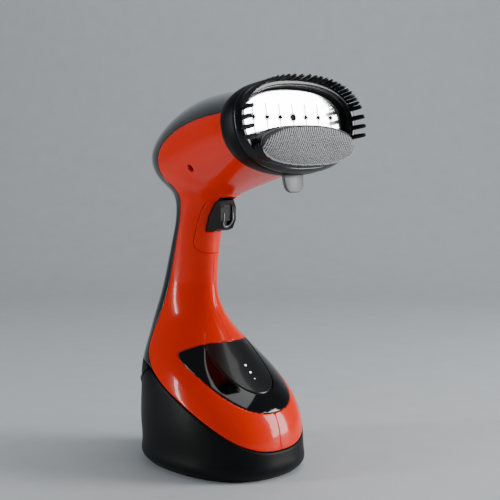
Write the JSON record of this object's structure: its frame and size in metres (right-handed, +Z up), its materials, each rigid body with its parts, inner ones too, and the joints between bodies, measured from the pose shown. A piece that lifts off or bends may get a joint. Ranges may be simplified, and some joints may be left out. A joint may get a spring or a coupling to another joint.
{
  "type": "handheld garment steamer",
  "caption": "Upright handheld garment steamer on a lift-off water tank base, with trigger, polished steam plate, clip-on bristle brush and lint pad.",
  "frame": {"origin": "middle of the flat underside of the water tank", "axes": "+Z up along the handle, steam head faces -Y, mirror plane at X = 0"},
  "size_m": [0.1224, 0.1974, 0.301],
  "materials": {
    "orange_body": "glossy orange-red ABS",
    "spine_gloss": "glossy dark grey",
    "black_satin": "satin black",
    "window_black": "piano black",
    "panel_black": "satin black",
    "tab_grey": "satin grey",
    "polished_plate": "polished",
    "cast_metal": "die cast",
    "steel": "bright",
    "rubber_black": "matt",
    "silicone": "translucent",
    "nap_fabric": "directional nap",
    "bristle_nylon": "nylon",
    "board_green": "printed circuit board",
    "white_plastic": "moulded",
    "light_white": "clear light guide"
  },
  "bodies": {
    "housing": {"left_shell": "orange_body", "right_shell": "orange_body", "front_panel": "orange_body", "shell_screws": "steel", "trigger_pin": "steel", "control_window": "window_black", "status_lights": "light_white", "control_board": "board_green", "spine_cover": "spine_gloss", "release_spring": "steel", "body_floor": "white_plastic", "rear_cover": "black_satin", "cord_gland": "rubber_black", "cord_clamp": "white_plastic", "port_seal": "silicone", "water_pump": "white_plastic", "suction_hose": "silicone", "pressure_hose": "silicone", "steam_plate": "polished_plate", "plate_gasket": "silicone", "head_collar": "black_satin", "tab_pin": "steel", "heating_element": "steel", "steam_chamber": "cast_metal", "chamber_bracket": "white_plastic", "thermostat": "steel", "thermal_fuse": "white_plastic", "switch_plate": "white_plastic", "trigger_switch": "rubber_black", "trigger_spring": "steel"},
    "touch_button": {"touch_panel": "panel_black"},
    "tank_button": {"release_button": "spine_gloss"},
    "tank": {"water_tank": "black_satin", "tank_lid": "black_satin", "filler_neck": "black_satin", "tank_valve": "white_plastic", "valve_spring": "steel"},
    "plug": {"filler_plug": "rubber_black"},
    "stem": {"valve_stem": "silicone"},
    "brush": {"brush_frame": "black_satin", "pad_carrier": "black_satin", "lint_pad": "nap_fabric", "bristle_tufts": "bristle_nylon"},
    "tab": {"release_tab": "tab_grey"},
    "trigger_lever": {"trigger": "black_satin"},
    "lock": {"lock_slider": "black_satin"}
  },
  "joints": [
    {"name": "trigger_press", "type": "hinge", "parent": "housing", "child": "trigger_lever", "pos_m": [0, -0.0065, 0.2055], "axis": [1, 0, 0], "range_deg": [0, 6], "stiffness_Nm_per_rad": 0.6, "springref_deg": -17.19, "deforming": ["trigger_spring"]},
    {"name": "lock_slide", "type": "slide", "parent": "trigger_lever", "child": "lock", "axis": [0, 0, -1], "range_m": [0, 0.003]},
    {"name": "touch_press", "type": "slide", "parent": "housing", "child": "touch_button", "axis": [0, 1, 0], "range_m": [0, 0.0008], "stiffness_N_per_m": 1500, "springref_m": -0.001},
    {"name": "tank_button_press", "type": "slide", "parent": "housing", "child": "tank_button", "axis": [0, -1, 0], "range_m": [0, 0.002], "stiffness_N_per_m": 1500, "springref_m": -0.002, "deforming": ["release_spring"]},
    {"name": "tank_removal", "type": "slide", "parent": "housing", "child": "tank", "axis": [0, 0, -1], "range_m": [0, 0.09]},
    {"name": "plug_lift", "type": "slide", "parent": "tank", "child": "plug", "axis": [0, 0, 1], "range_m": [0, 0.008]},
    {"name": "valve_press", "type": "slide", "parent": "tank", "child": "stem", "axis": [0, 0, -1], "range_m": [0, 0.001], "stiffness_N_per_m": 300, "springref_m": -0.0015, "deforming": ["valve_spring"]},
    {"name": "brush_removal", "type": "slide", "parent": "housing", "child": "brush", "axis": [0, -0.9877, 0.1564], "range_m": [0, 0.03]},
    {"name": "tab_press", "type": "hinge", "parent": "housing", "child": "tab", "pos_m": [0, -0.09514, 0.23262], "axis": [1, 0, 0], "range_deg": [0, 12], "stiffness_Nm_per_rad": 0.3, "springref_deg": -11.46}
  ]
}
